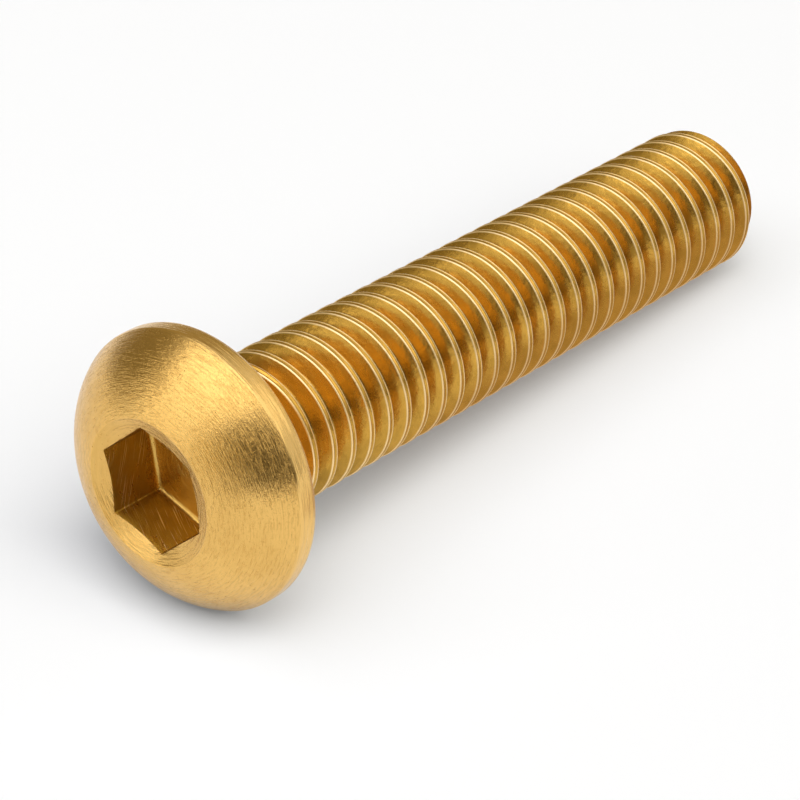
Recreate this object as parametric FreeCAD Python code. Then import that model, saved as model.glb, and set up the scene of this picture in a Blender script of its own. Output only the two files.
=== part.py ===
# Button head socket screw, M6 x 30, brass: one turned and threaded piece.
# It lies on a flat surface, on the low edge of its head and the last crests of its thread.
# Millimetres and degrees. +Z is up, the tip points towards +X and a little down, and the origin
# is the centre of the bearing face under the head.
import FreeCAD, Part
import math
import os

from FreeCAD import Vector

# Thread
pitch = 1.0
crest_diameter = 5.8
root_diameter = 4.77
root_flat = 0.17
flank_angle = 60.0            # between the two flanks of a groove
thread_turn = 310.8           # turns the thread about its axis, to place its crests
runout_depth = 0.1            # how far under the root the thread starts, inside the neck
runout_length = 1.3           # along the axis, in which it grows to full size

# Shank
neck_diameter = 5.3           # plain neck under the head
neck_length = 1.25            # bearing face to the small end of the neck's bevel
shank_length = 29.6           # bearing face to tip, 30 nominal
tip_chamfer = 0.75            # off the radius
tip_chamfer_angle = 45.0      # from the axis
underhead_radius = 0.4

# Head
head_diameter = 10.5
head_height = 2.9
rim_height = 0.8              # bearing face to the top of the rim's straight part
rim_round = 0.4               # between the rim and the dome
dome_radius = 3.55
seat_round = 0.4              # between the rim and the bearing face

# Socket for a 4 mm key
socket_across_flats = 4.1
socket_depth = 2.4            # top of the head to the socket's floor
socket_turn = 46.3            # turns the hexagon about the axis
floor_bevel = 0.2             # round the socket's floor
countersink_diameter = 5.5
countersink_angle = 140.0

crest_radius = crest_diameter / 2
root_radius = root_diameter / 2
start_radius = root_radius - runout_depth
neck_radius = neck_diameter / 2
rim_radius = head_diameter / 2
flank_run = (crest_radius - root_radius) * math.tan(math.radians(flank_angle / 2))
crest_flat = pitch - root_flat - 2 * flank_run
chamfer_length = tip_chamfer / math.tan(math.radians(tip_chamfer_angle))

# One pitch of the thread's section, as (height, radius): root, flank, crest, flank and the next root
section = [
    (0.0, root_radius),
    (root_flat, root_radius),
    (root_flat + flank_run, crest_radius),
    (root_flat + flank_run + crest_flat, crest_radius),
]
steps_per_turn = 24           # points that each helical edge is drawn through


def segment(a, b):
    """Straight edge between two (radius, height) points."""
    return Part.LineSegment(Vector(a[0], 0, a[1]), Vector(b[0], 0, b[1])).toShape()


def arc_between(centre, radius, a, b):
    """Short way round a circle from a to b, all as (radius, height) points."""
    start = math.atan2(a[1] - centre[1], a[0] - centre[0])
    sweep = math.atan2(b[1] - centre[1], b[0] - centre[0]) - start
    sweep = (sweep + math.pi) % (2 * math.pi) - math.pi
    middle = start + sweep / 2
    on_arc = (centre[0] + radius * math.cos(middle), centre[1] + radius * math.sin(middle))
    points = [Vector(p[0], 0, p[1]) for p in (a, on_arc, b)]
    return Part.Arc(*points).toShape()


def dome_centre(corner):
    """Centre of the dome's arc: it passes the countersink's edge and touches the rim's round inside."""
    edge = (countersink_diameter / 2, -head_height)
    reach = dome_radius - rim_round
    across, along = corner[0] - edge[0], corner[1] - edge[1]
    gap = math.hypot(across, along)
    forward = (dome_radius ** 2 - reach ** 2 + gap ** 2) / (2 * gap)
    aside = math.sqrt(dome_radius ** 2 - forward ** 2)
    foot = (edge[0] + across * forward / gap, edge[1] + along * forward / gap)
    return (foot[0] - along * aside / gap, foot[1] + across * aside / gap)


def head():
    """Head, underhead fillet and plain neck: bearing face at height 0, top of the head at -head_height."""
    neck_end = neck_length - (neck_radius - start_radius)
    dish = countersink_diameter / 2 / math.tan(math.radians(countersink_angle / 2))
    corner = (rim_radius - rim_round, -rim_height)
    centre = dome_centre(corner)
    scale = rim_round / (dome_radius - rim_round)
    tangent = (corner[0] + (corner[0] - centre[0]) * scale, corner[1] + (corner[1] - centre[1]) * scale)
    seat_start = (neck_radius + underhead_radius, 0.0)
    fillet_end = (neck_radius, underhead_radius)
    fillet_centre = (seat_start[0], fillet_end[1])
    seat_end = (rim_radius - seat_round, 0.0)
    rim = [(rim_radius, -seat_round), (rim_radius, -rim_height)]
    edge = (countersink_diameter / 2, -head_height)
    neck = [(0.0, neck_length), (start_radius, neck_length), (neck_radius, neck_end), fillet_end]
    edges = [segment(a, b) for a, b in zip(neck, neck[1:])]
    edges.append(arc_between(fillet_centre, underhead_radius, fillet_end, seat_start))
    edges.append(segment(seat_start, seat_end))
    edges.append(arc_between((seat_end[0], -seat_round), seat_round, seat_end, rim[0]))
    edges.append(segment(*rim))
    edges.append(arc_between(corner, rim_round, rim[-1], tangent))
    edges.append(arc_between(centre, dome_radius, tangent, edge))
    edges.append(segment(edge, (0.0, dish - head_height)))
    edges.append(segment((0.0, dish - head_height), (0.0, neck_length)))
    return Part.Face(Part.Wire(edges)).revolve(Vector(0, 0, 0), Vector(0, 0, 1), 360)


def socket():
    """Six-sided cutter for the socket, bevelled round its floor, open through the top of the head."""
    circumradius = socket_across_flats / 2 / math.cos(math.radians(30))
    floor = socket_depth - head_height
    corners = []
    for i in range(7):
        turn = math.radians(socket_turn + 60 * i)
        corners.append(Vector(circumradius * math.cos(turn), circumradius * math.sin(turn), floor))
    above = socket_depth + 1.0
    prism = Part.Face(Part.makePolygon(corners)).extrude(Vector(0, 0, -above))
    floor_edges = [e for e in prism.Edges if all(abs(v.Z - floor) < 1e-6 for v in e.Vertexes)]
    return prism.makeChamfer(floor_bevel, floor_edges)


def thread_point(corner, turns):
    """Where a corner of the section stands after some turns. The first turn is inside the neck, and then it grows."""
    height = pitch * turns + section[corner][0]
    grown = min(max((height - pitch) / runout_length, 0.0), 1.0)
    radius = start_radius + (section[corner][1] - start_radius) * grown
    angle = math.radians(360 * turns + thread_turn)
    return Vector(radius * math.cos(angle), radius * math.sin(angle), height)


def heading(corner, turns, step):
    """Direction and speed of a corner's path from one point to the next, a small step away."""
    return (thread_point(corner, turns + step) - thread_point(corner, turns)) / step


def helical_edge(corner, turns):
    """One turn of a corner's path, as a smooth curve that meets the turns before and after it."""
    steps = [turns + i / steps_per_turn for i in range(steps_per_turn + 1)]
    small = 1e-4
    curve = Part.BSplineCurve()
    curve.interpolate(Points=[thread_point(corner, t) for t in steps], Parameters=steps, Scale=False,
                      InitialTangent=heading(corner, steps[0], small),
                      FinalTangent=heading(corner, steps[-1], -small))
    return curve.toShape()


def thread_end(turn):
    """Ramp and wall that close the thread across its axis, where it starts or stops."""
    low, high = Vector(0, 0, pitch * turn), Vector(0, 0, pitch * (turn + 1))
    ramp = Part.makeRuledSurface(Part.makeLine(low, high), helical_edge(0, turn))
    outline = [low] + [thread_point(corner, turn) for corner in range(len(section))]
    wall = Part.Face(Part.makePolygon(outline + [thread_point(0, turn + 1), high, low]))
    return [ramp, wall]


def threaded_rod():
    """Thread and the core in it, from inside the neck to beyond the tip."""
    turns = math.ceil(shank_length / pitch) + 1
    paths = [helical_edge(corner, turn) for turn in range(turns) for corner in range(len(section))]
    paths.append(helical_edge(0, turns))
    faces = thread_end(0) + thread_end(turns)
    for path, following in zip(paths, paths[1:]):
        faces.append(Part.makeRuledSurface(path, following))
    shell = Part.Shell(faces)
    shell.sewShape()
    rod = Part.Solid(shell)
    if rod.Volume < 0:
        rod.reverse()
    return rod


def tip_waste():
    """What is turned off beyond the tip and outside its chamfer."""
    clear = 1.0
    slope = chamfer_length / tip_chamfer
    far = shank_length + 2 * pitch + clear
    points = [
        (0.0, shank_length),
        (crest_radius - tip_chamfer, shank_length),
        (crest_radius + clear, shank_length - chamfer_length - clear * slope),
        (crest_radius + clear, far),
        (0.0, far),
    ]
    edges = [segment(a, b) for a, b in zip(points, points[1:] + points[:1])]
    return Part.Face(Part.Wire(edges)).revolve(Vector(0, 0, 0), Vector(0, 0, 1), 360)


def last_crest():
    """Height of the thread's last point at full size, on the side that it lies on."""
    end = shank_length - chamfer_length
    first = root_flat + flank_run - pitch * thread_turn / 360
    start = first + pitch * math.floor((end - first) / pitch)
    return min(start + crest_flat, end)


def resting_tilt():
    """Angle in degrees between the axis and the surface that the head's low edge and the thread lie on."""
    across = rim_radius - seat_round - crest_radius
    along = last_crest() + seat_round
    rolled = math.asin(seat_round / math.hypot(across, along))
    return math.degrees(math.atan2(across, along) + rolled)


def main():
    """Build the screw, lay it down and write its file."""
    rod = threaded_rod()
    screw = head().fuse(rod.cut(tip_waste())).cut(socket())
    screw.rotate(Vector(0, 0, 0), Vector(0, 1, 0), 90 + resting_tilt())
    solid = screw.Solids[0]
    os.makedirs("parts", exist_ok=True)
    solid.exportStep("parts/screw.step")
    print("solids", len(screw.Solids), "valid", solid.isValid(), "volume", round(solid.Volume, 2),
          "faces", len(solid.Faces), "tilt", round(resting_tilt(), 3), "lowest", round(solid.BoundBox.ZMin, 4))


main()
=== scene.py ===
import logging
import math
from dataclasses import dataclass, field
from enum import Enum
from typing import Dict, List, Sequence, Tuple

import bpy
from mathutils import Matrix, Vector


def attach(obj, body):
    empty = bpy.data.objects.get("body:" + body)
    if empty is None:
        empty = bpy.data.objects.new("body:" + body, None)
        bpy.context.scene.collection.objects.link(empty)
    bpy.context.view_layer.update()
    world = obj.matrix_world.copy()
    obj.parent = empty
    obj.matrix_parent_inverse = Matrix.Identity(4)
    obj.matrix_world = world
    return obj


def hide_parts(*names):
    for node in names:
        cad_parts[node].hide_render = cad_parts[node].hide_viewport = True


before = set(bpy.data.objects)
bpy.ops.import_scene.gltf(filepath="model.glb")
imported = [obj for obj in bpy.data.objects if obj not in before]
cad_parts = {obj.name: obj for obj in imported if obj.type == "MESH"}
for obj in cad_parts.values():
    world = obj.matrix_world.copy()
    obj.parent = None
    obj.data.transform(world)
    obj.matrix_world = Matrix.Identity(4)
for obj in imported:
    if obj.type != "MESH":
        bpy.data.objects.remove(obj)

logging.basicConfig(level=logging.INFO, format="%(message)s")
log = logging.getLogger("screw")
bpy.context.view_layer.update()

MM = 0.001
Point = Tuple[float, float]
Colour = Tuple[float, float, float]


class Surface(Enum):
    """The surfaces of the screw, each with its own finish. The value is its material slot."""

    DOME = 0
    RIM = 1
    SEAT = 2
    COUNTERSINK = 3
    SOCKET_WALL = 4
    SOCKET_FLOOR = 5
    THREAD = 6
    TIP = 7


class Across(Enum):
    """The direction that tool marks are counted in: out from the axis, along it, or both."""

    OUT = "Out"
    ALONG = "Along"
    SLOPE = "Slope"


# a (radius, height) point and the surface that follows it
Ring = Tuple[Point, Surface]


@dataclass(frozen=True)
class ScrewSizes:
    """The screw's dimensions in millimetres and degrees, the same as the solid's."""

    pitch: float = 1.0
    crest_radius: float = 2.9
    root_radius: float = 2.385
    root_flat: float = 0.17
    flank_angle: float = 60.0
    thread_turn: float = 310.8
    start_radius: float = 2.285
    runout_length: float = 1.3
    neck_radius: float = 2.65
    neck_length: float = 1.25
    shank_length: float = 29.6
    tip_chamfer: float = 0.75
    underhead_radius: float = 0.4
    rim_radius: float = 5.25
    head_height: float = 2.9
    rim_height: float = 0.8
    rim_round: float = 0.4
    dome_radius: float = 3.55
    seat_round: float = 0.4
    across_flats: float = 4.1
    socket_depth: float = 2.4
    socket_turn: float = 46.3
    floor_bevel: float = 0.2
    countersink_radius: float = 2.75
    countersink_angle: float = 140.0

    @property
    def flank_run(self) -> float:
        """Length of one flank along the axis."""
        return (self.crest_radius - self.root_radius) * math.tan(math.radians(self.flank_angle / 2))

    @property
    def crest_flat(self) -> float:
        """Width of the flat on top of the thread."""
        return self.pitch - self.root_flat - 2 * self.flank_run

    @property
    def last_crest(self) -> float:
        """Height of the thread's last point at full size, on the side that it lies on.

        Returns:
            Millimetres from the bearing face.
        """
        end = self.shank_length - self.tip_chamfer
        first = self.root_flat + self.flank_run - self.pitch * self.thread_turn / 360
        start = first + self.pitch * math.floor((end - first) / self.pitch)
        return min(start + self.crest_flat, end)

    @property
    def tilt(self) -> float:
        """Angle in radians between the axis and the floor, with the head's low edge and the thread on it.

        Returns:
            The angle in radians.
        """
        across = self.rim_radius - self.seat_round - self.crest_radius
        along = self.last_crest + self.seat_round
        return math.atan2(across, along) + math.asin(self.seat_round / math.hypot(across, along))

    @property
    def floor_height(self) -> float:
        """Height in millimetres of the floor that the screw lies on."""
        return (self.placing() @ Vector((self.crest_radius, 0.0, self.last_crest))).z

    def placing(self) -> Matrix:
        """Return the turn that lays the screw down, from its own axes to the model's frame."""
        s, c = math.sin(self.tilt), math.cos(self.tilt)
        return Matrix(((-s, 0.0, c), (0.0, 1.0, 0.0), (-c, 0.0, -s)))


def soften(before: Point, corner: Point, after: Point, reach: float, steps: int = 4) -> List[Point]:
    """Round a corner of an outline.

    Args:
        before: Point that the outline comes from.
        corner: The sharp corner.
        after: Point that the outline goes to.
        reach: Distance from the corner at which the rounding starts and ends.
        steps: Number of short edges in the rounding.

    Returns:
        The points of the rounded corner, from its start to its end.
    """
    here = Vector(corner)
    first = here + (Vector(before) - here).normalized() * reach
    last = here + (Vector(after) - here).normalized() * reach
    points = []
    for i in range(steps + 1):
        t = i / steps
        p = first * (1 - t) ** 2 + here * 2 * t * (1 - t) + last * t ** 2
        points.append((p.x, p.y))
    return points


def spread(a: Point, b: Point, steps: int) -> List[Point]:
    """Return the points between a and b, without either end."""
    return [(a[0] + (b[0] - a[0]) * i / steps, a[1] + (b[1] - a[1]) * i / steps) for i in range(1, steps)]


def arc(centre: Point, radius: float, start: float, end: float, steps: int) -> List[Point]:
    """Return points on a circle, from one angle in radians to another, both ends in."""
    angles = [start + (end - start) * i / steps for i in range(steps + 1)]
    return [(centre[0] + radius * math.cos(a), centre[1] + radius * math.sin(a)) for a in angles]


def finished(points: Sequence[Point], surface: Surface) -> List[Ring]:
    """Return the points, each with the surface that follows it."""
    return [(point, surface) for point in points]


def linked(name: str, data: bpy.types.ID) -> bpy.types.Object:
    """Make an object and link it to the scene.

    Args:
        name: Name of the object.
        data: Its mesh, camera or lamp.

    Returns:
        The object.
    """
    made = bpy.data.objects.new(name, data)
    bpy.context.scene.collection.objects.link(made)
    return made


def sheet(name: str, x: float, y: float, height: float = 0.0) -> bpy.types.Mesh:
    """Make a flat rectangle of one face.

    Args:
        name: Name of the mesh.
        x: Half of its width in metres.
        y: Half of its depth.
        height: Where it is along Z.

    Returns:
        The mesh.
    """
    mesh = bpy.data.meshes.new(name)
    mesh.from_pydata([(-x, -y, height), (x, -y, height), (x, y, height), (-x, y, height)], [], [(0, 1, 2, 3)])
    return mesh


@dataclass
class Shell:
    """Vertices and faces of one closed piece while it is being built."""

    points: List[Vector] = field(default_factory=list)
    faces: List[Tuple[int, ...]] = field(default_factory=list)
    slots: List[int] = field(default_factory=list)

    def add(self, x: float, y: float, z: float) -> int:
        """Add a vertex in millimetres and return its number."""
        self.points.append(Vector((x, y, z)) * MM)
        return len(self.points) - 1

    def face(self, corners: Sequence[int], surface: Surface) -> None:
        """Add a face with the finish of one surface."""
        self.faces.append(tuple(corners))
        self.slots.append(surface.value)

    def to_object(self, name: str) -> bpy.types.Object:
        """Make a Blender object of the shell.

        Args:
            name: Name of the object and its mesh.

        Returns:
            The object, linked to the scene.
        """
        mesh = bpy.data.meshes.new(name)
        mesh.from_pydata(self.points, [], self.faces)
        mesh.polygons.foreach_set("material_index", self.slots)
        mesh.validate()
        mesh.update()
        return linked(name, mesh)


@dataclass
class ThreadedRod:
    """The thread and the core in it, from inside the neck to beyond the tip."""

    sizes: ScrewSizes
    steps: int = 90                 # faces for each turn
    near_reach: float = 0.04        # rounding of the crest's edge on the head's side
    far_reach: float = 0.02         # and on the tip's side
    root_reach: float = 0.06        # rounding at the thread's root
    fold: float = 0.035             # depth of the fold that rolling leaves along the crest
    # points of the fold, as shares of the crest's width and of the fold's depth
    fold_shape: Tuple[Point, ...] = ((0.24, 0.3), (0.4, 1.0), (0.55, 1.0), (0.85, 0.0))

    def section(self) -> List[Point]:
        """Return one pitch of the thread's section as (height, radius) points, edges rounded.

        Returns:
            The points from one root to the next, in the order of their height.
        """
        s = self.sizes
        root_end = s.root_flat
        crest_start = root_end + s.flank_run
        crest_end = crest_start + s.crest_flat
        corners = [
            (0.0, s.root_radius, self.root_reach),
            (root_end, s.root_radius, self.root_reach),
            (crest_start, s.crest_radius, self.near_reach),
            (crest_end, s.crest_radius, self.far_reach),
        ]
        points: List[Point] = []
        for i, (height, radius, reach) in enumerate(corners):
            before, after = corners[i - 1], corners[(i + 1) % 4]
            low = (before[0] - (s.pitch if i == 0 else 0.0), before[1])
            high = (after[0] + (s.pitch if i == 3 else 0.0), after[1])
            points += soften(low, (height, radius), high, reach)
            if i == 2:
                points += [(height + s.crest_flat * part, radius - self.fold * deep)
                           for part, deep in self.fold_shape]
            elif i != 0:
                points.append(((height + high[0]) / 2, (radius + high[1]) / 2))
        return points

    def place(self, corner: Point, turns: float) -> Tuple[float, float, float]:
        """Return where a point of the section stands after some turns.

        Args:
            corner: Height and radius of the point in the section.
            turns: Turns of the thread from its start inside the neck.

        Returns:
            The point in millimetres.
        """
        s = self.sizes
        height = s.pitch * turns + corner[0]
        grown = min(max((height - s.pitch) / s.runout_length, 0.0), 1.0)
        radius = s.start_radius + (corner[1] - s.start_radius) * grown
        angle = math.radians(360.0 * turns + s.thread_turn)
        return radius * math.cos(angle), radius * math.sin(angle), height

    def build(self) -> bpy.types.Object:
        """Return the closed rod, with its grid running along the helix.

        Returns:
            The rod's mesh object, in the screw's own axes.
        """
        s = self.sizes
        section = self.section()
        count = len(section)
        turns = math.ceil(s.shank_length / s.pitch) + 1
        last = turns * self.steps
        shell = Shell()
        grid = [[shell.add(*self.place(p, t / self.steps)) for p in section] for t in range(last + 1)]
        beyond = [shell.add(*self.place(section[0], (last + t) / self.steps))
                  for t in range(1, self.steps + 1)]
        firsts = [row[0] for row in grid] + beyond
        axis = [shell.add(0.0, 0.0, s.pitch * t / self.steps) for t in range(last + self.steps + 1)]
        for t in range(last):
            here, there = grid[t] + [firsts[t + self.steps]], grid[t + 1] + [firsts[t + 1 + self.steps]]
            for j in range(count):
                shell.face((here[j], there[j], there[j + 1], here[j + 1]), Surface.THREAD)
        for t in range(self.steps):
            shell.face((axis[t], axis[t + 1], firsts[t + 1], firsts[t]), Surface.THREAD)
            end = last + t
            shell.face((axis[end + 1], axis[end], firsts[end], firsts[end + 1]), Surface.THREAD)
        walls = ((0, False), (last, True))
        for start, flip in walls:
            outline = grid[start] + [firsts[start + self.steps]]
            outline += [axis[start + t] for t in range(self.steps, -1, -1)]
            shell.face(outline[::-1] if flip else outline, Surface.THREAD)
        # the axis between the two ends carries no face, so its vertices go
        return prune(shell, "threaded_rod")


def prune(shell: Shell, name: str) -> bpy.types.Object:
    """Make an object of a shell without the vertices that no face uses.

    Args:
        shell: The faces and their vertices.
        name: Name of the mesh object.

    Returns:
        The mesh object, without the vertices that no face uses.
    """
    used = sorted({v for face in shell.faces for v in face})
    number = {v: i for i, v in enumerate(used)}
    tidy = Shell([shell.points[v] for v in used], [tuple(number[v] for v in f) for f in shell.faces],
                 shell.slots)
    return tidy.to_object(name)


@dataclass
class ButtonHead:
    """The head with its socket, the underhead fillet and the plain neck."""

    sizes: ScrewSizes
    edge_reach: float = 0.03        # rounding of the turned edges
    mouth_reach: float = 0.02       # rounding of the socket's edge
    corner_loss: float = 0.015      # taken off the socket's sharp corners
    # degrees from a corner of the socket at which the grid's lines stand
    half_sector: Tuple[float, ...] = (0.0, 0.35, 0.75, 1.3, 2.2, 3.6, 5.5, 8.0, 11.0, 14.5, 18.5, 22.5, 26.5)
    # rings on the socket's floor, as shares of its size
    floor_rings: Tuple[float, ...] = (0.85, 0.65, 0.45, 0.25, 0.08)

    def angles(self) -> List[float]:
        """Return the angles of the grid in degrees, close together at the socket's corners.

        Returns:
            The angles, in the order in which they go round.
        """
        out: List[float] = []
        for corner in range(6):
            middle = self.sizes.socket_turn + 60.0 * corner
            out += [middle - a for a in reversed(self.half_sector[1:])]
            out += [middle + a for a in self.half_sector]
            out.append(middle + 30.0)
        return out

    def dome_centre(self) -> Point:
        """Return the centre of the dome's arc, which touches the rim's round inside.

        Returns:
            Radius and height of the centre.
        """
        s = self.sizes
        corner = (s.rim_radius - s.rim_round, -s.rim_height)
        edge = (s.countersink_radius, -s.head_height)
        reach = s.dome_radius - s.rim_round
        across, along = corner[0] - edge[0], corner[1] - edge[1]
        gap = math.hypot(across, along)
        forward = (s.dome_radius ** 2 - reach ** 2 + gap ** 2) / (2 * gap)
        aside = math.sqrt(s.dome_radius ** 2 - forward ** 2)
        foot = (edge[0] + across * forward / gap, edge[1] + along * forward / gap)
        return foot[0] - along * aside / gap, foot[1] + across * aside / gap

    def outer_rings(self) -> List[Ring]:
        """Return the plain rings of the neck, the rim and the dome.

        Returns:
            The rings from the small end of the neck to the countersink's edge.
        """
        s = self.sizes
        neck_end = s.neck_length - (s.neck_radius - s.start_radius)
        small = (s.start_radius, s.neck_length)
        wide = (s.neck_radius, neck_end)
        low = (s.neck_radius, s.underhead_radius)
        near_axis = (0.001, s.neck_length)
        rings = finished([near_axis, small, *soften(small, wide, low, self.edge_reach)], Surface.SEAT)
        fillet = arc((s.neck_radius + s.underhead_radius, s.underhead_radius), s.underhead_radius,
                     math.pi, 1.5 * math.pi, 8)
        seat_end = (s.rim_radius - s.seat_round, 0.0)
        rings += finished(fillet + spread(fillet[-1], seat_end, 4), Surface.SEAT)
        low_edge = arc((seat_end[0], -s.seat_round), s.seat_round, math.pi / 2, 0.0, 10)
        rings += finished(low_edge[:4], Surface.SEAT) + finished(low_edge[4:], Surface.RIM)
        rings += finished(spread(low_edge[-1], (s.rim_radius, -s.rim_height), 4), Surface.RIM)
        corner = (s.rim_radius - s.rim_round, -s.rim_height)
        centre = self.dome_centre()
        touch = math.atan2(corner[1] - centre[1], corner[0] - centre[0])
        high_edge = arc(corner, s.rim_round, 0.0, touch, 10)
        rings += finished(high_edge[:-2], Surface.RIM) + finished(high_edge[-2:], Surface.DOME)
        edge = (s.countersink_radius, -s.head_height)
        stop = math.atan2(edge[1] - centre[1], edge[0] - centre[0])
        dome = arc(centre, s.dome_radius, touch, stop + self.edge_reach / s.dome_radius, 24)
        inward = (edge[0] - 1.0, edge[1] + 1.0 / math.tan(math.radians(s.countersink_angle / 2)))
        rings += finished(dome[1:-1] + soften(dome[-1], edge, inward, self.edge_reach)[:-1], Surface.DOME)
        return rings

    def hexagon(self, angle: float, across_flats: float) -> float:
        """Distance from the axis to the side of a hexagon in one direction.

        Args:
            angle: Direction in degrees.
            across_flats: Size of the hexagon.

        Returns:
            The distance in millimetres, with the corners a little rounded.
        """
        turn = (angle - self.sizes.socket_turn) % 60.0 - 30.0
        sharp = across_flats / 2 / math.cos(math.radians(turn))
        blunt = across_flats / 2 / math.cos(math.radians(30.0)) - self.corner_loss
        return min(sharp, blunt)

    def cone_height(self, radius: float) -> float:
        """Height of the countersink's surface at one radius."""
        s = self.sizes
        return -s.head_height + (s.countersink_radius - radius) / math.tan(math.radians(s.countersink_angle / 2))

    def socket_rings(self, angle: float) -> List[Ring]:
        """Return the points inside the countersink's edge in one direction.

        Args:
            angle: Direction in degrees.

        Returns:
            Radius and height of each point with the surface that follows it, down to the floor's middle.
        """
        s = self.sizes
        lip = self.hexagon(angle, s.across_flats)
        edge = s.countersink_radius - self.edge_reach
        mouth = (lip, self.cone_height(lip))
        outer = (edge, self.cone_height(edge))
        floor = s.socket_depth - s.head_height
        wall_end = (lip, floor - s.floor_bevel)
        small = self.hexagon(angle, s.across_flats - 2 * s.floor_bevel)
        lip_edge = soften(outer, mouth, wall_end, self.mouth_reach, 2)
        out = finished([outer, *spread(outer, mouth, 5), *lip_edge[:-1]], Surface.COUNTERSINK)
        out += finished([lip_edge[-1], *spread(mouth, wall_end, 10)], Surface.SOCKET_WALL)
        # a hollow round leads from the wall into the floor
        turns = [math.radians(15.0 * step) for step in range(7)]
        hollow = [(small + (lip - small) * math.cos(t), wall_end[1] + s.floor_bevel * math.sin(t)) for t in turns]
        out += finished(hollow + [(small * share, floor) for share in self.floor_rings], Surface.SOCKET_FLOOR)
        return out

    def build(self) -> bpy.types.Object:
        """Return the closed head, open only where its socket is.

        Returns:
            The head's mesh object, in the screw's own axes.
        """
        shell = Shell()
        outer = self.outer_rings()
        columns: List[List[int]] = []
        surfaces: List[Surface] = []
        for angle in self.angles():
            rings = outer + self.socket_rings(angle)
            surfaces = [surface for _, surface in rings]
            c, s = math.cos(math.radians(angle)), math.sin(math.radians(angle))
            columns.append([shell.add(r * c, r * s, z) for (r, z), _ in rings])
        top = shell.add(0.0, 0.0, self.sizes.neck_length)
        floor = shell.add(0.0, 0.0, self.sizes.socket_depth - self.sizes.head_height)
        for here, there in zip(columns, columns[1:] + columns[:1]):
            shell.face((top, here[0], there[0]), Surface.SEAT)
            for i in range(len(here) - 1):
                shell.face((here[i], here[i + 1], there[i + 1], there[i]), surfaces[i])
            shell.face((here[-1], floor, there[-1]), Surface.SOCKET_FLOOR)
        return shell.to_object("head_blank")


@dataclass
class TipWaste:
    """What is turned off beyond the tip and outside its chamfer."""

    sizes: ScrewSizes
    edge_reach: float = 0.06        # rounding of the tip's flat end
    clear: float = 1.0              # how far the waste stands out from the thread
    sides: int = 180
    end_rings: Tuple[float, ...] = (0.4, 1.2)       # radii of the rings on the flat end

    def build(self) -> bpy.types.Object:
        """Return the closed ring-shaped waste.

        Returns:
            The mesh object that is cut away from the rod.
        """
        s = self.sizes
        middle = (0.0, s.shank_length)
        corner = (s.crest_radius - s.tip_chamfer, s.shank_length)
        out = (s.crest_radius + self.clear, s.shank_length - s.tip_chamfer - self.clear)
        far = s.shank_length + 3 * s.pitch
        outline = [(radius, s.shank_length) for radius in self.end_rings]
        outline += soften(middle, corner, out, self.edge_reach) + [out, (out[0], far)]
        shell = Shell()
        rings = []
        for i in range(self.sides):
            turn = 2 * math.pi * i / self.sides
            rings.append([shell.add(r * math.cos(turn), r * math.sin(turn), z) for r, z in outline])
        near, end = shell.add(0.0, 0.0, s.shank_length), shell.add(0.0, 0.0, far)
        for here, there in zip(rings, rings[1:] + rings[:1]):
            shell.face((near, there[0], here[0]), Surface.TIP)
            for i in range(len(here) - 1):
                shell.face((here[i], there[i], there[i + 1], here[i + 1]), Surface.TIP)
            shell.face((here[-1], there[-1], end), Surface.TIP)
        return shell.to_object("tip_waste")


@dataclass
class Screw:
    """The whole screw: head and rod joined, the tip turned off, dressed and laid down."""

    sizes: ScrewSizes
    finishes: Sequence["BrassFinish"]
    sharp_angle: float = 32.0       # edges sharper than this are not shaded smooth

    def joined(self, piece: bpy.types.Object, other: bpy.types.Object, operation: str) -> bpy.types.Object:
        """Join or cut two closed pieces and remove them.

        Args:
            piece: The piece that is kept.
            other: The piece that is joined to it or cut from it.
            operation: UNION or DIFFERENCE.

        Returns:
            A new object with the result.
        """
        tool = piece.modifiers.new(operation.lower(), "BOOLEAN")
        tool.object = other
        tool.operation = operation
        tool.solver = "MANIFOLD"
        seen = piece.evaluated_get(bpy.context.evaluated_depsgraph_get())
        mesh = bpy.data.meshes.new_from_object(seen)
        result = linked(piece.name, mesh)
        for spare in (piece, other):
            old = spare.data
            bpy.data.objects.remove(spare)
            bpy.data.meshes.remove(old)
        return result

    def build(self) -> bpy.types.Object:
        """Return the finished screw, riding on the part's one body.

        Returns:
            The finished mesh object, laid down in the model's frame.
        """
        parts = [ThreadedRod(self.sizes).build(), TipWaste(self.sizes).build(), ButtonHead(self.sizes).build()]
        for part in parts:
            for finish in self.finishes:
                part.data.materials.append(finish.material)
            log.info("%s: %d faces", part.name, len(part.data.polygons))
        rod = self.joined(parts[0], parts[1], "DIFFERENCE")
        piece = self.joined(parts[2], rod, "UNION")
        piece.name = piece.data.name = "brass_screw"
        piece.data.polygons.foreach_set("use_smooth", [True] * len(piece.data.polygons))
        piece.data.set_sharp_from_angle(angle=math.radians(self.sharp_angle))
        piece.data.transform(self.sizes.placing().to_4x4())
        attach(piece, "root")
        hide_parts("screw")
        return piece


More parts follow.
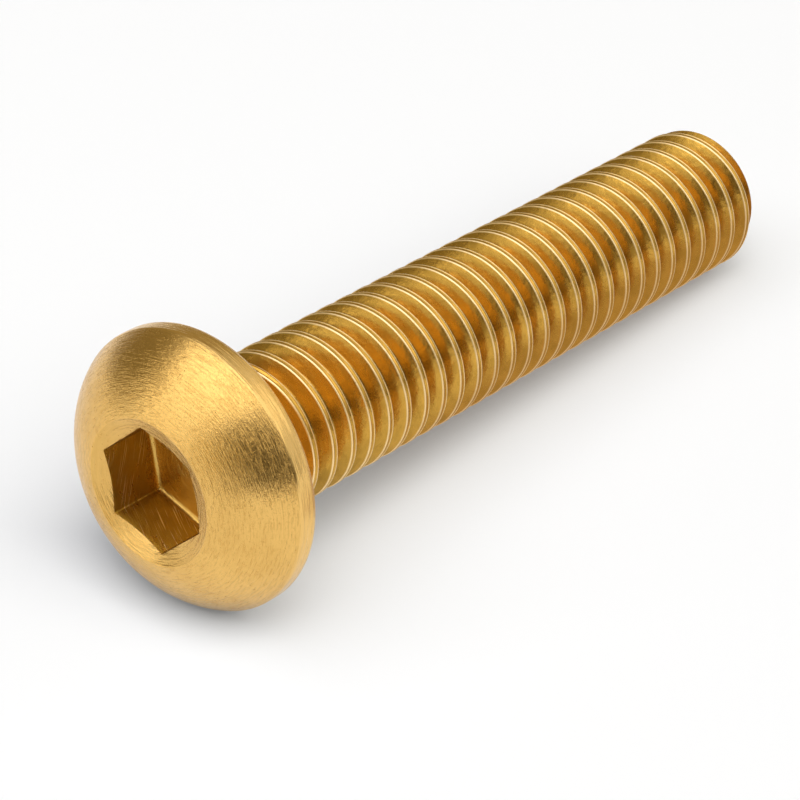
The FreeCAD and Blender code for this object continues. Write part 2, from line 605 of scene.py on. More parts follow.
class Graph:
    """Short hand for building a tree of shader nodes."""

    def __init__(self, tree: bpy.types.NodeTree) -> None:
        """Keep the tree that the nodes go into."""
        self.tree = tree

    @classmethod
    def emptied(cls, owner: bpy.types.ID) -> "Graph":
        """Return the graph of a material or a world, with no nodes in it yet.

        Args:
            owner: The material or the world.

        Returns:
            Its graph.
        """
        owner.use_nodes = True
        owner.node_tree.nodes.clear()
        return cls(owner.node_tree)

    def node(self, kind: str, **settings: object) -> bpy.types.Node:
        """Add a node and set its properties.

        Args:
            kind: Blender's name of the node type.
            settings: Properties of the node, by name.

        Returns:
            The new node.
        """
        made = self.tree.nodes.new(kind)
        for name, value in settings.items():
            setattr(made, name, value)
        return made

    def join(self, source: object, target: bpy.types.NodeSocket) -> None:
        """Link a socket to another, or set a plain value on it.

        Args:
            source: A socket of another node, or a plain number or colour.
            target: The input that takes it.
        """
        if isinstance(source, bpy.types.NodeSocket):
            self.tree.links.new(source, target)
        else:
            target.default_value = source

    def math(self, operation: str, *values: object, clamp: bool = False) -> bpy.types.NodeSocket:
        """Return the result of one arithmetic step on sockets or numbers.

        Args:
            operation: Blender's name of the operation.
            values: Its inputs, as sockets or numbers.
            clamp: Whether the result is held between 0 and 1.

        Returns:
            The result's socket.
        """
        made = self.node("ShaderNodeMath", operation=operation, use_clamp=clamp)
        for value, socket in zip(values, made.inputs):
            self.join(value, socket)
        return made.outputs[0]

    def add(self, total: object, part: object, weight: object, clamp: bool = False) -> bpy.types.NodeSocket:
        """Return a total with a weighted part added, held between 0 and 1 where clamp says so."""
        return self.math("ADD", total, self.math("MULTIPLY", part, weight), clamp=clamp)

    def vector(self, x: object, y: object, z: object) -> bpy.types.NodeSocket:
        """Return a vector made of three sockets or numbers.

        Args:
            x: First part, a socket or a number.
            y: Second part.
            z: Third part.

        Returns:
            The vector's socket.
        """
        made = self.node("ShaderNodeCombineXYZ")
        for value, socket in zip((x, y, z), made.inputs):
            self.join(value, socket)
        return made.outputs[0]

    def noise(self, vector: object, scale: object, detail: float, roughness: float = 0.5) -> bpy.types.NodeSocket:
        """Return the value of a noise texture.

        Args:
            vector: Where the noise is read.
            scale: Patches for each unit of the vector.
            detail: Number of finer layers.
            roughness: Strength of the finer layers.

        Returns:
            The noise's socket, from 0 to 1.
        """
        made = self.node("ShaderNodeTexNoise", noise_dimensions="3D")
        self.join(vector, made.inputs["Vector"])
        self.join(scale, made.inputs["Scale"])
        made.inputs["Detail"].default_value = detail
        made.inputs["Roughness"].default_value = roughness
        return made.outputs["Fac"]

    def band(self, value: object, low: object, high: object, start: float = 0.0, end: float = 1.0,
             smooth: bool = True) -> bpy.types.NodeSocket:
        """Return a value moved from one range to another and held inside it.

        Args:
            value: The value to move, a socket or a number.
            low: Value that becomes start.
            high: Value that becomes end.
            start: Result at and below low.
            end: Result at and above high.
            smooth: Whether the change eases in and out.

        Returns:
            The result's socket.
        """
        made = self.node("ShaderNodeMapRange", interpolation_type="SMOOTHSTEP" if smooth else "LINEAR")
        for source, name in ((value, "Value"), (low, "From Min"), (high, "From Max"), (start, "To Min"),
                             (end, "To Max")):
            self.join(source, made.inputs[name])
        return made.outputs["Result"]

    def blend(self, factor: object, first: object, second: object) -> bpy.types.NodeSocket:
        """Return a mix of two colours.

        Args:
            factor: 0 for the first colour, 1 for the second.
            first: A socket or a colour.
            second: A socket or a colour.

        Returns:
            The mixed colour's socket.
        """
        made = self.node("ShaderNodeMix", data_type="RGBA")
        for source, socket in ((factor, made.inputs[0]), (first, made.inputs[6]), (second, made.inputs[7])):
            self.join(source, socket)
        return made.outputs[2]

    def mix(self, factor: object, first: bpy.types.Node, second: bpy.types.Node) -> bpy.types.NodeSocket:
        """Return a mix of two shaders.

        Args:
            factor: 0 for the first shader, 1 for the second.
            first: A shader's node.
            second: A shader's node.

        Returns:
            The mixed shader's socket.
        """
        made = self.node("ShaderNodeMixShader")
        for source, socket in zip((factor, first.outputs[0], second.outputs[0]), made.inputs):
            self.join(source, socket)
        return made.outputs[0]


# a node group, its graph, its input node and its output node
GroupParts = Tuple[bpy.types.NodeTree, Graph, bpy.types.Node, bpy.types.Node]


class Effects:
    """The node groups that the brass finishes share."""

    def __init__(self, sizes: ScrewSizes) -> None:
        """Build each group once, for a screw that lies as the sizes say.

        Args:
            sizes: The screw's dimensions.
        """
        self.sizes = sizes
        self.place = self.turned_place()
        self.rings = self.ring_marks()
        self.curls = self.curly_marks()
        self.tarnish = self.tarnish_patches()
        self.scores = self.score_lines()
        self.thread = self.thread_place()

    def start(self, name: str, inputs: Dict[str, float], outputs: Sequence[str]) -> GroupParts:
        """Start a node group whose inputs and outputs are all plain values.

        Args:
            name: Name of the group.
            inputs: Name of each input and its default.
            outputs: Names of the outputs.

        Returns:
            The group, its graph, its input node and its output node.
        """
        group = bpy.data.node_groups.new(name, "ShaderNodeTree")
        for label, default in inputs.items():
            socket = group.interface.new_socket(label, in_out="INPUT", socket_type="NodeSocketFloat")
            socket.default_value = default
        for label in outputs:
            group.interface.new_socket(label, in_out="OUTPUT", socket_type="NodeSocketFloat")
        graph = Graph(group)
        return group, graph, graph.node("NodeGroupInput"), graph.node("NodeGroupOutput")

    def scaled_place(self, g: Graph, scale: object) -> bpy.types.NodeSocket:
        """Return a point's place on the object, times a scale.

        Args:
            g: The graph that the nodes go in.
            scale: A number or a socket.

        Returns:
            The vector's socket.
        """
        made = g.node("ShaderNodeVectorMath", operation="SCALE")
        g.join(g.node("ShaderNodeTexCoord").outputs["Object"], made.inputs[0])
        g.join(scale, made.inputs["Scale"])
        return made.outputs[0]

    def along_axis(self, g: Graph, point: bpy.types.NodeSocket, axis: Vector) -> bpy.types.NodeSocket:
        """Return how far a point is along one of the screw's own axes.

        Args:
            g: The graph that the nodes go in.
            point: The vector's socket.
            axis: The direction, of unit length.

        Returns:
            The socket of the length along the axis.
        """
        made = g.node("ShaderNodeVectorMath", operation="DOT_PRODUCT")
        g.join(point, made.inputs[0])
        made.inputs[1].default_value = tuple(axis)
        return made.outputs["Value"]

    def turned_place(self) -> bpy.types.NodeTree:
        """Return a group that gives a point's place on a turned piece, in millimetres.

        Returns:
            The group, with lengths in millimetres.
        """
        group, g, _, out = self.start("Turned place", {}, ("Along", "Out", "Slope", "Cos", "Sin"))
        point = self.scaled_place(g, 1.0 / MM)
        x, y, z = [self.along_axis(g, point, axis) for axis in self.sizes.placing().col]
        radius = g.math("SQRT", g.math("ADD", g.math("MULTIPLY", x, x), g.math("MULTIPLY", y, y)))
        safe = g.math("MAXIMUM", radius, 0.001)
        g.join(z, out.inputs["Along"])
        g.join(radius, out.inputs["Out"])
        g.join(g.math("ADD", radius, z), out.inputs["Slope"])
        g.join(g.math("DIVIDE", x, safe), out.inputs["Cos"])
        g.join(g.math("DIVIDE", y, safe), out.inputs["Sin"])
        return group

    def ring_marks(self) -> bpy.types.NodeTree:
        """Return a group that draws the fine broken lines that a cutting tool leaves round the axis.

        Returns:
            The group, with masks from 0 to 1.
        """
        inputs = {"Across": 0.0, "Cos": 0.0, "Sin": 0.0, "Lines per mm": 10.0, "Breaks": 5.0}
        group, g, into, out = self.start("Ring marks", inputs, ("Fine", "Coarse", "Dashes"))
        across = g.math("MULTIPLY", into.outputs["Across"], into.outputs["Lines per mm"])
        around = [g.math("MULTIPLY", into.outputs[n], into.outputs["Breaks"]) for n in ("Cos", "Sin")]
        fine = g.noise(g.vector(across, *around), 1.0, 3.0, 0.65)
        g.join(g.band(fine, 0.25, 0.75), out.inputs["Fine"])
        # the dashes are read far off in the noise, so that they don't follow the fine lines
        close = g.math("ADD", g.math("MULTIPLY", across, 0.9), 31.0)
        dashes = g.noise(g.vector(close, *[g.math("MULTIPLY", a, 1.3) for a in around]), 1.0, 1.0, 0.5)
        g.join(g.band(dashes, 0.53, 0.63), out.inputs["Dashes"])
        slow = g.math("MULTIPLY", across, 0.22)
        half = [g.math("MULTIPLY", a, 0.35) for a in around]
        coarse = g.noise(g.vector(slow, *half), 1.0, 2.0)
        g.join(g.band(coarse, 0.3, 0.7), out.inputs["Coarse"])
        return group

    def curly_marks(self) -> bpy.types.NodeTree:
        """Return a group that scatters small worm-like dull marks.

        Returns:
            The group, with a mask from 0 to 1.
        """
        group, g, into, out = self.start("Curly marks", {"Size": 1.0}, ("Marks",))
        point = self.scaled_place(g, g.math("DIVIDE", 1.0 / MM, into.outputs["Size"]))
        lines = g.noise(point, 1.7, 1.0, 0.4)
        ridge = g.math("ABSOLUTE", g.math("SUBTRACT", lines, 0.5))
        drawn = g.band(ridge, 0.02, 0.07, 1.0, 0.0)
        # a second noise, read elsewhere, keeps only some stretches of the lines
        moved = g.node("ShaderNodeVectorMath", operation="ADD")
        g.join(point, moved.inputs[0])
        moved.inputs[1].default_value = (17.0, 5.0, 9.0)
        chosen = g.band(g.noise(moved.outputs[0], 1.9, 1.0), 0.54, 0.62)
        g.join(g.math("MULTIPLY", drawn, chosen), out.inputs["Marks"])
        return group

    def tarnish_patches(self) -> bpy.types.NodeTree:
        """Return a group that gives the slow change of tone over the metal.

        Returns:
            The group, with masks from 0 to 1.
        """
        group, g, into, out = self.start("Tarnish patches", {"Size": 1.0}, ("Broad", "Blotch", "Specks", "Grain"))
        point = self.scaled_place(g, g.math("DIVIDE", 1.0 / MM, into.outputs["Size"]))
        g.join(g.band(g.noise(point, 0.45, 4.0, 0.55), 0.3, 0.7), out.inputs["Broad"])
        g.join(g.noise(point, 1.5, 2.0, 0.5), out.inputs["Blotch"])
        g.join(g.band(g.noise(point, 9.0, 2.0, 0.6), 0.58, 0.72), out.inputs["Specks"])
        g.join(g.noise(point, 13.0, 2.0, 0.6), out.inputs["Grain"])
        return group

    def score_lines(self) -> bpy.types.NodeTree:
        """Return a group that draws slanted scratches across the socket's sides.

        Returns:
            The group, with masks from 0 to 1.
        """
        inputs = {"Along": 0.0, "Cos": 0.0, "Sin": 0.0}
        group, g, into, out = self.start("Score lines", inputs, ("Lines", "Bright"))
        turned = g.math("ARCTAN2", into.outputs["Sin"], into.outputs["Cos"])
        across = g.math("SUBTRACT", into.outputs["Along"], turned)
        fine = g.vector(g.math("MULTIPLY", across, 26.0), g.math("MULTIPLY", turned, 2.0), 0.0)
        g.join(g.band(g.noise(fine, 1.0, 3.0, 0.6), 0.3, 0.7), out.inputs["Lines"])
        few = g.vector(g.math("MULTIPLY", across, 20.0), g.math("MULTIPLY", turned, 1.5), 7.0)
        g.join(g.band(g.noise(few, 1.0, 1.0, 0.4), 0.62, 0.7), out.inputs["Bright"])
        return group

    def thread_place(self) -> bpy.types.NodeTree:
        """Return a group that finds a thread's edges (wear and painted highlights) and root (painted shade).

        Returns:
            The group, with masks from 0 to 1.
        """
        inputs = {"Along": 0.0, "Cos": 0.0, "Sin": 0.0}
        group, g, into, out = self.start("Thread place", inputs, ("Edges", "Burr", "Root"))
        s = self.sizes
        # widths as shares of the pitch
        edge_width, burr_width, root_width = 0.04, 0.035, 0.2
        turned = g.math("DIVIDE", g.math("ARCTAN2", into.outputs["Sin"], into.outputs["Cos"]), 2 * math.pi)
        climbed = g.math("DIVIDE", into.outputs["Along"], s.pitch)
        phase = g.math("ADD", g.math("SUBTRACT", climbed, turned), s.thread_turn / 360.0)
        phase = g.math("FRACT", phase)
        crest_start = (s.root_flat + s.flank_run) / s.pitch
        crest_end = crest_start + s.crest_flat / s.pitch
        near = g.math("ABSOLUTE", g.math("SUBTRACT", phase, crest_start + 0.01))
        far = g.math("ABSOLUTE", g.math("SUBTRACT", phase, crest_end - 0.03))
        burr = g.band(far, 0.0, burr_width, 1.0, 0.0)
        g.join(burr, out.inputs["Burr"])
        g.join(g.math("MAXIMUM", g.band(near, 0.01, edge_width, 1.0, 0.0), burr), out.inputs["Edges"])
        middle = g.math("ABSOLUTE", g.math("SUBTRACT", phase, s.root_flat / 2))
        wrapped = g.math("MINIMUM", middle, g.math("SUBTRACT", 1.0, middle))
        g.join(g.band(wrapped, 0.04, root_width, 1.0, 0.0), out.inputs["Root"])
        return group


@dataclass
class BrassFinish:
    """How one surface of the screw is finished. Depths are in hundredths of a millimetre."""

    surface: Surface
    effects: Effects
    colour: Colour = (0.83, 0.505, 0.14)
    dull: Colour = (0.6, 0.335, 0.08)           # colour where the metal has tarnished
    wear: float = 0.4                           # how much of the dull colour shows at most
    roughness: float = 0.3
    spread: float = 0.12                        # from the smoothest to the roughest place
    patches: float = 1.0                        # size of the tarnish patches
    across: Across = Across.SLOPE
    lines: float = 10.0                         # tool marks in a millimetre
    breaks: float = 5.0                         # how often they break off round the axis
    line_depth: float = 0.4
    coarse_depth: float = 0.3
    blotch_depth: float = 0.8
    grain_depth: float = 0.1
    curl_depth: float = 0.0
    score_depth: float = 0.0
    dash_depth: float = 0.0
    burr_depth: float = 2.5
    broad_tone: float = 0.5                     # share of each kind of mark in the tarnish
    line_tone: float = 0.35
    speck_tone: float = 0.3
    curl_tone: float = 0.4
    dash_tone: float = 0.0
    score_tone: float = 0.8                     # and of the bright metal in a scratch
    # share of painted shade in the thread's root
    root_shade_tone: float = 0.6
    edge_blur: float = 0.2                      # roughness that a thread's edge has more
    curl_size: float = 0.2
    threaded: bool = False
    edges: Colour = (1.0, 0.77, 0.42)           # bare metal in scratches; on a thread's edges, wear and painted highlight lines
    # painted shade in the thread's groove
    root: Colour = (0.46, 0.26, 0.05)
    bounce: Colour = (0.36, 0.35, 0.34)         # what the floor sees of the metal
    material: bpy.types.Material = field(init=False)

    def __post_init__(self) -> None:
        """Build the material."""
        self.material = bpy.data.materials.new("brass_" + self.surface.name.lower())
        self.dress()

    def group(self, g: Graph, tree: bpy.types.NodeTree, **inputs: object) -> bpy.types.Node:
        """Add one of the shared groups and join its inputs.

        Args:
            g: The material's graph.
            tree: The shared group.
            inputs: Values or sockets for its inputs, with _ for a space in a name.

        Returns:
            The group's node.
        """
        made = g.node("ShaderNodeGroup", node_tree=tree)
        for name, source in inputs.items():
            g.join(source, made.inputs[name.replace("_", " ")])
        return made

    def turned_group(self, g: Graph, tree: bpy.types.NodeTree, place: bpy.types.Node) -> bpy.types.Node:
        """Add a shared group that goes by the place along and round the axis.

        Args:
            g: The material's graph.
            tree: The shared group.
            place: Node of the Turned place group.

        Returns:
            The group's node.
        """
        return self.group(g, tree, **{name: place.outputs[name] for name in ("Along", "Cos", "Sin")})

    def marks(self, g: Graph, place: bpy.types.Node) -> Tuple[bpy.types.NodeSocket, bpy.types.NodeSocket]:
        """Add the tool marks, the tarnish and the curly marks.

        Args:
            g: The material's graph.
            place: Node of the Turned place group.

        Returns:
            How tarnished the metal is, from 0 to 1, and the height of its surface.
        """
        rings = self.group(g, self.effects.rings, Across=place.outputs[self.across.value],
                           Cos=place.outputs["Cos"], Sin=place.outputs["Sin"],
                           Lines_per_mm=self.lines, Breaks=self.breaks)
        tarnish = self.group(g, self.effects.tarnish, Size=self.patches)
        fine, dashes = rings.outputs["Fine"], rings.outputs["Dashes"]
        worn = g.add(g.math("MULTIPLY", tarnish.outputs["Broad"], self.broad_tone), fine, self.line_tone)
        worn = g.add(worn, tarnish.outputs["Specks"], self.speck_tone, clamp=True)
        worn = g.add(worn, dashes, self.dash_tone, clamp=True)
        height = g.math("MULTIPLY", fine, self.line_depth)
        for mark, depth in ((rings.outputs["Coarse"], self.coarse_depth), (dashes, -self.dash_depth),
                            (tarnish.outputs["Blotch"], self.blotch_depth),
                            (tarnish.outputs["Grain"], self.grain_depth)):
            height = g.add(height, mark, depth)
        if self.curl_depth > 0.0:
            curls = self.group(g, self.effects.curls, Size=self.curl_size).outputs["Marks"]
            height = g.add(height, curls, self.curl_depth)
            worn = g.add(worn, curls, self.curl_tone, clamp=True)
        return worn, height

    def dress(self) -> None:
        """Wire the material: tone, gloss and surface marks."""
        g = Graph.emptied(self.material)
        place = self.group(g, self.effects.place)
        worn, height = self.marks(g, place)
        colour = g.blend(g.math("MULTIPLY", worn, self.wear), (*self.colour, 1.0), (*self.dull, 1.0))
        rough = g.add(self.roughness - self.spread / 2, worn, self.spread)
        if self.score_depth > 0.0:
            scores = self.turned_group(g, self.effects.scores, place)
            height = g.add(height, scores.outputs["Lines"], self.score_depth)
            bright = g.math("MULTIPLY", scores.outputs["Bright"], self.score_tone)
            colour = g.blend(bright, colour, (*self.edges, 1.0))
        if self.threaded:
            parts = self.turned_group(g, self.effects.thread, place)
            height = g.add(height, parts.outputs["Burr"], self.burr_depth)
            # the thread's root is painted darker: painted shade in the groove
            colour = g.blend(g.math("MULTIPLY", parts.outputs["Root"], self.root_shade_tone), colour, (*self.root, 1.0))
            # the thread's edges are painted paler: partly bare worn metal, partly painted highlight lines
            colour = g.blend(parts.outputs["Edges"], colour, (*self.edges, 1.0))
            rough = g.add(rough, parts.outputs["Edges"], self.edge_blur)
        # the floor next to the screw gets less of the metal's yellow light
        to_floor = g.node("ShaderNodeLightPath").outputs["Is Diffuse Ray"]
        colour = g.blend(to_floor, colour, (*self.bounce, 1.0))
        bump = g.node("ShaderNodeBump")
        bump.inputs["Strength"].default_value = 1.0
        bump.inputs["Distance"].default_value = 0.01 * MM
        g.join(height, bump.inputs["Height"])
        metal = g.node("ShaderNodeBsdfPrincipled")
        metal.inputs["Metallic"].default_value = 1.0
        g.join(colour, metal.inputs["Base Color"])
        g.join(rough, metal.inputs["Roughness"])
        g.join(bump.outputs["Normal"], metal.inputs["Normal"])
        g.join(metal.outputs["BSDF"], g.node("ShaderNodeOutputMaterial").inputs["Surface"])


@dataclass
class ViewCamera:
    """The camera, where the picture was taken from. Sizes in millimetres and degrees."""

    place: Tuple[float, float, float] = (-64.529, -63.6608, 63.7799)
    heading: float = 40.3844
    dip: float = 34.1065
    lens: float = 144.111
    sensor: float = 36.0

    def build(self) -> bpy.types.Object:
        """Return the camera, set as the scene's own.

        Returns:
            The camera's object.
        """
        data = bpy.data.cameras.new("view")
        data.lens = self.lens
        data.sensor_width = self.sensor
        data.sensor_fit = "HORIZONTAL"
        data.clip_start = 0.005
        data.clip_end = 10.0
        camera = linked("view", data)
        turn, dip = math.radians(self.heading), math.radians(self.dip)
        forward = Vector((math.cos(turn) * math.cos(dip), math.sin(turn) * math.cos(dip), -math.sin(dip)))
        right = Vector((math.sin(turn), -math.cos(turn), 0.0))
        up = right.cross(forward)
        facing = Matrix((right, up, -forward)).transposed()
        camera.matrix_world = Matrix.Translation(Vector(self.place) * MM) @ facing.to_4x4()
        bpy.context.scene.camera = camera
        return camera


@dataclass(frozen=True)
class Aim:
    """Where a lamp or a card stands, seen from the screw. Degrees, and metres for the distances."""

    azimuth: float
    elevation: float
    distance: float = 0.5
    towards_tip: float = 0.0

    def place(self, target: Vector) -> Matrix:
        """Return the placing of a flat thing there, with its face to the screw.

        Args:
            target: Point that it faces, in metres.

        Returns:
            The placing. The local Z axis points away from the target, and local Y is up.
        """
        turn, lift = math.radians(self.azimuth), math.radians(self.elevation)
        away = Vector((math.cos(turn) * math.cos(lift), math.sin(turn) * math.cos(lift), math.sin(lift)))
        side = Vector((-math.sin(turn), math.cos(turn), 0.0))
        facing = Matrix((side, away.cross(side), away)).transposed()
        stand = target + away * self.distance + Vector((self.towards_tip, 0.0, 0.0))
        return Matrix.Translation(stand) @ facing.to_4x4()

    def span(self, degrees: float) -> float:
        """Return the size in metres of a thing that looks so many degrees wide from the screw."""
        return 2 * self.distance * math.tan(math.radians(degrees / 2))


@dataclass(frozen=True)
class Softbox:
    """A square lamp with a soft face, aimed at the screw. Width and depth are in degrees."""

    name: str
    aim: Aim
    width: float
    depth: float
    level: float
    colour: Colour = (1.0, 1.0, 1.0)

    def build(self, target: Vector) -> bpy.types.Object:
        """Place the lamp.

        Args:
            target: Point that it faces, in metres.

        Returns:
            The lamp.
        """
        data = bpy.data.lights.new(self.name, "AREA")
        data.shape = "RECTANGLE"
        data.size, data.size_y = self.aim.span(self.width), self.aim.span(self.depth)
        # the level is the brightness of its face, whatever its size
        data.energy = self.level * math.pi * data.size * data.size_y
        data.color = self.colour
        lamp = linked(self.name, data)
        lamp.matrix_world = self.aim.place(target)
        return lamp


@dataclass(frozen=True)
class ShadeCard:
    """A soft-edged card that the metal mirrors as a darker patch. It throws no shadow itself."""

    name: str
    aim: Aim
    width: float
    depth: float
    tone: float
    colour: Colour = (1.0, 0.82, 0.42)
    feather: float = 0.35

    def build(self, target: Vector) -> bpy.types.Object:
        """Place the card.

        Args:
            target: Point that it faces, in metres.

        Returns:
            The card.
        """
        x, y = self.aim.span(self.width) / 2, self.aim.span(self.depth) / 2
        mesh = sheet(self.name, x, y)
        mesh.materials.append(self.finish(x, y))
        card = linked(self.name, mesh)
        card.matrix_world = self.aim.place(target)
        card.visible_camera = card.visible_diffuse = card.visible_shadow = False
        return card

    def finish(self, x: float, y: float) -> bpy.types.Material:
        """Return the card's material, which fades out towards its edges.

        Args:
            x: Half of the card's width in metres.
            y: Half of its height.

        Returns:
            The material.
        """
        material = bpy.data.materials.new(self.name)
        g = Graph.emptied(material)
        spot = g.node("ShaderNodeSeparateXYZ")
        g.join(g.node("ShaderNodeTexCoord").outputs["Object"], spot.inputs[0])
        inside = 1.0
        for axis, half in (("X", x), ("Y", y)):
            away = g.math("ABSOLUTE", spot.outputs[axis])
            inside = g.math("MULTIPLY", inside, g.band(away, half * (1.0 - self.feather), half, 1.0, 0.0))
        tone = g.node("ShaderNodeEmission")
        tone.inputs["Color"].default_value = (*self.colour, 1.0)
        tone.inputs["Strength"].default_value = self.tone
        soft = g.mix(inside, g.node("ShaderNodeBsdfTransparent"), tone)
        g.join(soft, g.node("ShaderNodeOutputMaterial").inputs["Surface"])
        return material


@dataclass
class Studio:
    """The floor, the sky, the lamps and the cards. Azimuth 0 is where the tip points."""

    sizes: ScrewSizes
    low_sky: float = 0.09                       # level of most of the sky
    high_sky: float = 2.72                      # and of its bright patch
    brighter: Tuple[float, float, float] = (-0.2, -0.56, 0.804)     # towards the patch
    patch: Tuple[float, float] = (0.8, 0.93)    # cosines of the angles at which it starts and is full
    sky_colour: Colour = (1.0, 0.978, 0.92)
    mirrored: float = 0.8                       # level of the white that the brass mirrors
    floor_half: float = 1.0                     # half of the floor's width, in metres
    floor_colour: Colour = (0.955, 0.955, 0.955)
    glow: float = 0.05                          # share of backdrop white in the floor at the screw
    fade: Tuple[float, float] = (0.045, 0.13)   # metres away at which it rises and is all white
    middle: float = 10.0                        # point of the screw that all is aimed at
    boxes: Sequence[Softbox] = (
        Softbox("overhead_softbox", Aim(172.0, 67.0), 66.0, 56.0, 1.25, (0.97, 1.0, 1.09)),
        Softbox("right_softbox", Aim(302.0, 44.0), 60.0, 34.0, 0.6),
        Softbox("left_softbox", Aim(150.0, 12.0), 30.0, 24.0, 1.0),
    )
    cards: Sequence[ShadeCard] = (
        ShadeCard("back_card", Aim(44.0, 16.0, 0.45), 80.0, 74.0, 0.36, (1.0, 0.82, 0.42), 0.4),
        ShadeCard("left_card", Aim(102.0, 18.0, 0.47), 84.0, 78.0, 0.24, (1.0, 0.86, 0.5), 0.45),
        ShadeCard("front_card", Aim(234.0, 17.0, 0.45), 88.0, 82.0, 0.07, (1.0, 0.76, 0.32), 0.45),
        ShadeCard("head_card", Aim(180.0, 6.0, 0.48), 32.0, 26.0, 0.75),
        ShadeCard("tip_card", Aim(0.0, 12.0, 0.48), 40.0, 50.0, 0.85, (1.0, 0.9, 0.6)),
        ShadeCard("low_card", Aim(276.0, 2.0, 0.46), 50.0, 30.0, 0.1),
        ShadeCard("floor_card", Aim(0.0, -90.0, 0.00435, 0.011), 155.0, 150.0, 0.62, (1.0, 0.84, 0.72)),
    )

    def background(self, g: Graph) -> bpy.types.NodeSocket:
        """Return 1 on the rays that show the background: camera, glossy and transmission.

        Args:
            g: The graph that the nodes go in.

        Returns:
            The mask's socket.
        """
        rays = g.node("ShaderNodeLightPath")
        seen = g.math("MAXIMUM", rays.outputs["Is Camera Ray"], rays.outputs["Is Glossy Ray"])
        return g.math("MAXIMUM", seen, rays.outputs["Is Transmission Ray"])

    def build_floor(self) -> bpy.types.Object:
        """Return the white floor that the screw lies on.

        Returns:
            The floor's object, marked as stage.
        """
        mesh = sheet("white_floor", self.floor_half, self.floor_half, self.sizes.floor_height * MM)
        floor = linked("white_floor", mesh)
        material = bpy.data.materials.new("white_floor")
        g = Graph.emptied(material)
        plain = g.node("ShaderNodeBsdfDiffuse")
        plain.inputs["Color"].default_value = (*self.floor_colour, 1.0)
        bright = g.node("ShaderNodeEmission")
        bright.inputs["Strength"].default_value = 1.0
        # the floor fades into the white backdrop away from the screw
        away = g.node("ShaderNodeVectorMath", operation="LENGTH")
        g.join(g.node("ShaderNodeTexCoord").outputs["Object"], away.inputs[0])
        fade = g.band(away.outputs["Value"], *self.fade, self.glow, 1.0)
        faded = g.mix(g.math("MULTIPLY", self.background(g), fade), plain, bright)
        g.join(faded, g.node("ShaderNodeOutputMaterial").inputs["Surface"])
        mesh.materials.append(material)
        return floor

    def build_sky(self) -> bpy.types.World:
        """Return the sky, which is brightest up in front and shows as white.

        Returns:
            The world.
        """
        world = bpy.data.worlds.new("studio")
        bpy.context.scene.world = world
        g = Graph.emptied(world)
        toward = g.node("ShaderNodeVectorMath", operation="DOT_PRODUCT")
        g.join(g.node("ShaderNodeTexCoord").outputs["Generated"], toward.inputs[0])
        toward.inputs[1].default_value = self.brighter
        light = g.node("ShaderNodeBackground")
        light.inputs["Color"].default_value = (*self.sky_colour, 1.0)
        g.join(g.band(toward.outputs["Value"], *self.patch, self.low_sky, self.high_sky),
               light.inputs["Strength"])
        # the camera sees it pure white, and the brass mirrors it a little under that
        white = g.node("ShaderNodeBackground")
        white.inputs["Color"].default_value = (1.0, 1.0, 1.0, 1.0)
        camera = g.node("ShaderNodeLightPath").outputs["Is Camera Ray"]
        g.join(g.band(camera, 0.0, 1.0, self.mirrored, 1.0), white.inputs["Strength"])
        sky = g.mix(self.background(g), light, white)
        g.join(sky, g.node("ShaderNodeOutputWorld").inputs["Surface"])
        return world

    def build(self) -> None:
        """Build the floor, the sky, each lamp and each card."""
        self.build_floor()
        self.build_sky()
        target = self.sizes.placing() @ Vector((0.0, 0.0, self.middle)) * MM
        for thing in (*self.boxes, *self.cards):
            thing.build(target)
            log.info("%s placed", thing.name)


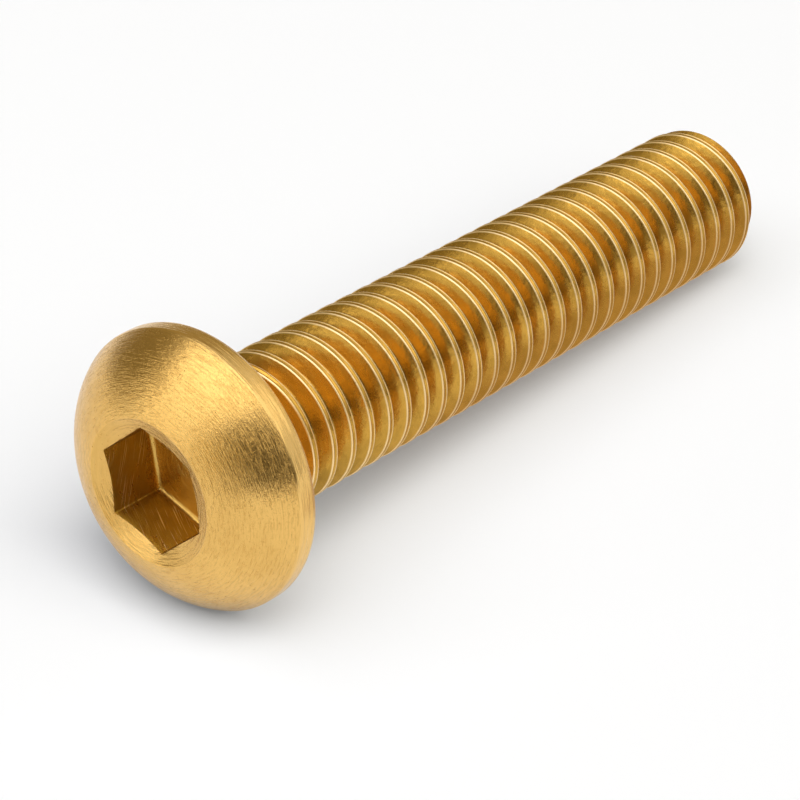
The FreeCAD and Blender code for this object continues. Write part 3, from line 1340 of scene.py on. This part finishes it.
def brass_finishes(effects: Effects) -> List[BrassFinish]:
    """Return the finish of each surface, in the order of the slots.

    Args:
        effects: The node groups that the finishes share.

    Returns:
        One finish for each surface.
    """
    return [
        BrassFinish(Surface.DOME, effects, colour=(0.83, 0.515, 0.155), roughness=0.22, lines=14.0,
                    breaks=7.0, curl_depth=0.16, line_depth=0.8, coarse_depth=0.4, grain_depth=0.35,
                    blotch_depth=0.3, wear=0.6, dash_depth=0.5, dash_tone=0.5),
        # the rim is given a paler colour: a painted highlight along the rim
        BrassFinish(Surface.RIM, effects, colour=(0.86, 0.55, 0.18), roughness=0.2, across=Across.ALONG,
                    lines=9.0, breaks=3.0, line_depth=1.1, dash_depth=0.3, dash_tone=0.4),
        BrassFinish(Surface.SEAT, effects, roughness=0.3, across=Across.OUT, lines=12.0),
        BrassFinish(Surface.COUNTERSINK, effects, colour=(0.76, 0.47, 0.14), roughness=0.26, across=Across.OUT,
                    lines=10.0, breaks=2.0, line_depth=1.8, wear=0.7),
        # the socket's sides and floor are given darker colours: painted shade inside the socket
        BrassFinish(Surface.SOCKET_WALL, effects, colour=(0.54, 0.31, 0.04), dull=(0.36, 0.19, 0.02),
                    roughness=0.3, across=Across.ALONG, lines=5.0, line_depth=0.3, score_depth=1.2),
        BrassFinish(Surface.SOCKET_FLOOR, effects, colour=(0.66, 0.4, 0.1), dull=(0.45, 0.25, 0.04),
                    roughness=0.28, across=Across.OUT, lines=7.0, breaks=2.0, line_depth=0.9),
        # the thread's colour is darker than the head's: painted shade for the shaded floor that its flanks mirror
        BrassFinish(Surface.THREAD, effects, colour=(0.7, 0.395, 0.07), dull=(0.48, 0.265, 0.04), roughness=0.27,
                    across=Across.ALONG, lines=16.0, breaks=4.0, line_depth=0.12, coarse_depth=0.15,
                    blotch_depth=1.2, grain_depth=0.06, spread=0.12, wear=1.0, patches=0.38, threaded=True),
        # the tip is given a paler colour: painted light where its chamfer mirrors the shaded floor
        BrassFinish(Surface.TIP, effects, colour=(0.9, 0.6, 0.22), roughness=0.28, across=Across.OUT,
                    lines=12.0, breaks=2.5),
    ]


def main() -> None:
    """Build the screw, then the camera and the studio."""
    sizes = ScrewSizes()
    piece = Screw(sizes, brass_finishes(Effects(sizes))).build()
    triangles = sum(len(p.vertices) - 2 for p in piece.data.polygons)
    log.info("%s: %d faces, %d triangles", piece.name, len(piece.data.polygons), triangles)
    ViewCamera().build()
    Studio(sizes).build()
    bpy.context.scene.view_settings.view_transform = "Standard"


if __name__ == "__main__":
    main()
